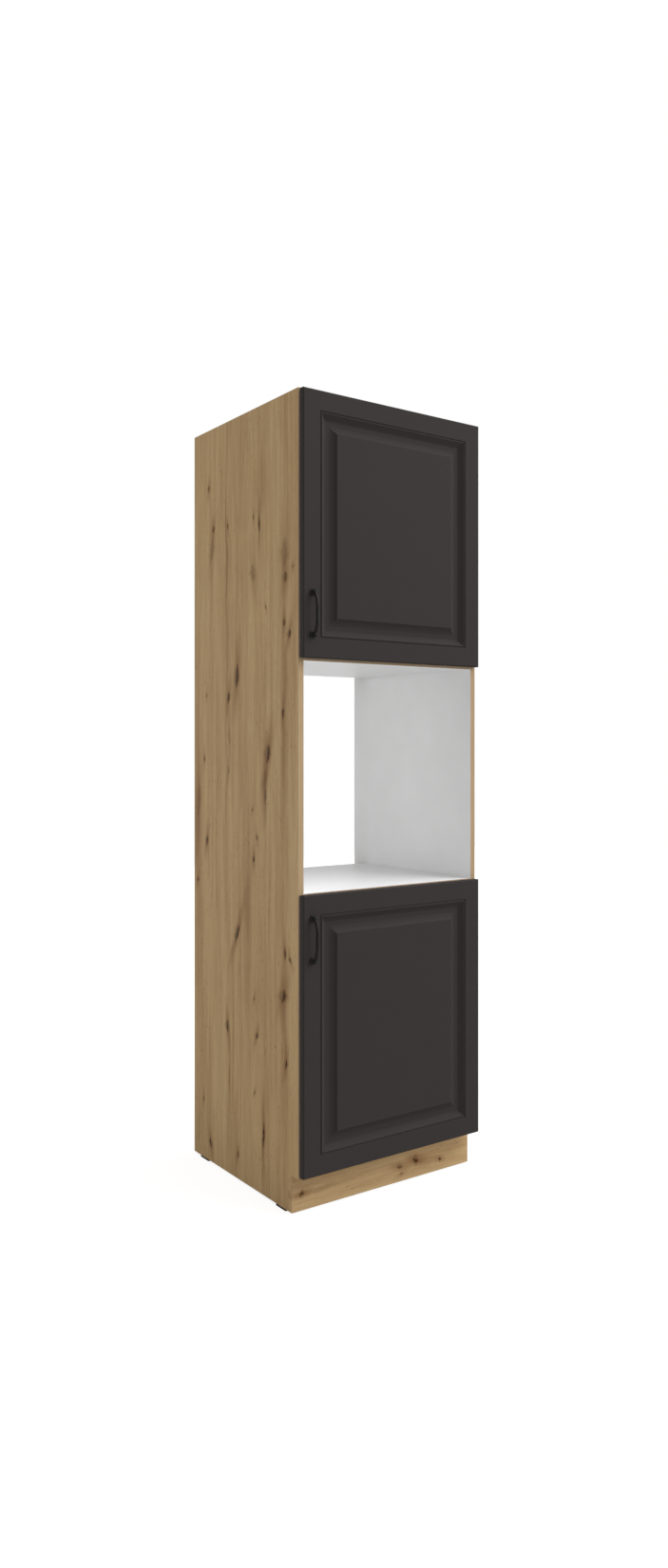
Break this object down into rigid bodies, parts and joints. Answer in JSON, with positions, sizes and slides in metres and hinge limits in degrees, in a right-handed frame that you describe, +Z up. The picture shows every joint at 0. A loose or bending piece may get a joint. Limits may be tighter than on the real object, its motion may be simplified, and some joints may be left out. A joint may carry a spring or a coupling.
{
  "type": "tall kitchen cabinet",
  "caption": "Tall kitchen cabinet with oak-look sides and plinth, an open niche for a built-in oven, and dark raised-panel doors on concealed hinges above and below it.",
  "frame": {"origin": "middle of the whole footprint, handles included, on the floor under the glides", "axes": "+X to the right seen from the front, -Y towards the front, +Z up"},
  "size_m": [0.6, 0.598, 2.1],
  "materials": {
    "oak_board": "matt oak-look laminate with knots, grain along the board",
    "white_board": "white melamine, oak-look band on the front edge",
    "graphite_foil": "matt graphite foil on the front and edges",
    "hardboard": "white lacquered hardboard, brown back",
    "black_metal": "black antique lacquer",
    "nickel_steel": "nickel-plated steel",
    "zinc": "die-cast zinc",
    "beech": "plain beech",
    "black_plastic": "black moulded plastic",
    "white_plastic": "white moulded plastic",
    "clear_bumper": "soft clear bumper"
  },
  "bodies": {
    "carcase": {"left_side_panel": "oak_board", "right_side_panel": "oak_board", "plinth_board": "oak_board", "top_panel": "white_board", "bottom_panel": "white_board", "oven_shelf": "white_board", "niche_top_shelf": "white_board", "upper_shelf": "white_board", "lower_shelf": "white_board", "upper_back_panel": "hardboard", "lower_back_panel": "hardboard", "shelf_pins": "nickel_steel", "cam_bolts": "nickel_steel", "hinge_plate_screws": "nickel_steel", "hinge_arm_screws": "nickel_steel", "hinge_arm_pins": "nickel_steel", "wall_brackets": "nickel_steel", "wall_bracket_screws": "nickel_steel", "plinth_bracket_screws": "nickel_steel", "upper_hinge_plates": "nickel_steel", "upper_hinge_arms": "nickel_steel", "lower_hinge_plates": "nickel_steel", "lower_hinge_arms": "nickel_steel", "cam_locks": "zinc", "dowels": "beech", "plinth_brackets": "white_plastic", "glide_front_left": "black_plastic", "glide_front_right": "black_plastic", "glide_back_left": "black_plastic", "glide_back_right": "black_plastic"},
    "upper_door_set": {"upper_door": "graphite_foil", "upper_handle": "black_metal", "upper_handle_screws": "nickel_steel", "upper_hinge_cups": "nickel_steel", "upper_cup_screws": "nickel_steel", "upper_cup_pins": "nickel_steel", "upper_door_bumpers": "clear_bumper"},
    "lower_door_set": {"lower_door": "graphite_foil", "lower_handle": "black_metal", "lower_handle_screws": "nickel_steel", "lower_hinge_cups": "nickel_steel", "lower_cup_screws": "nickel_steel", "lower_cup_pins": "nickel_steel", "lower_door_bumpers": "clear_bumper"},
    "upper_link_set": {"upper_hinge_links": "nickel_steel"},
    "lower_link_set": {"lower_hinge_links": "nickel_steel"}
  },
  "joints": [
    {"name": "upper_door_swing", "type": "hinge", "parent": "carcase", "child": "upper_door_set", "pos_m": [0.292, -0.266, 1.757], "axis": [0, 0, 1], "range_deg": [0, 95]},
    {"name": "upper_link_swing", "type": "hinge", "parent": "upper_door_set", "child": "upper_link_set", "pos_m": [0.289, -0.26, 1.757], "axis": [0, 0, 1], "range_deg": [-121, 0]},
    {"name": "lower_door_swing", "type": "hinge", "parent": "carcase", "child": "lower_door_set", "pos_m": [0.292, -0.266, 0.4615], "axis": [0, 0, 1], "range_deg": [0, 95]},
    {"name": "lower_link_swing", "type": "hinge", "parent": "lower_door_set", "child": "lower_link_set", "pos_m": [0.289, -0.26, 0.4615], "axis": [0, 0, 1], "range_deg": [-121, 0]}
  ],
  "couplings": [
    {"joint": "upper_link_swing", "follows": "upper_door_swing", "ratio": -1.253},
    {"joint": "lower_link_swing", "follows": "lower_door_swing", "ratio": -1.253}
  ]
}
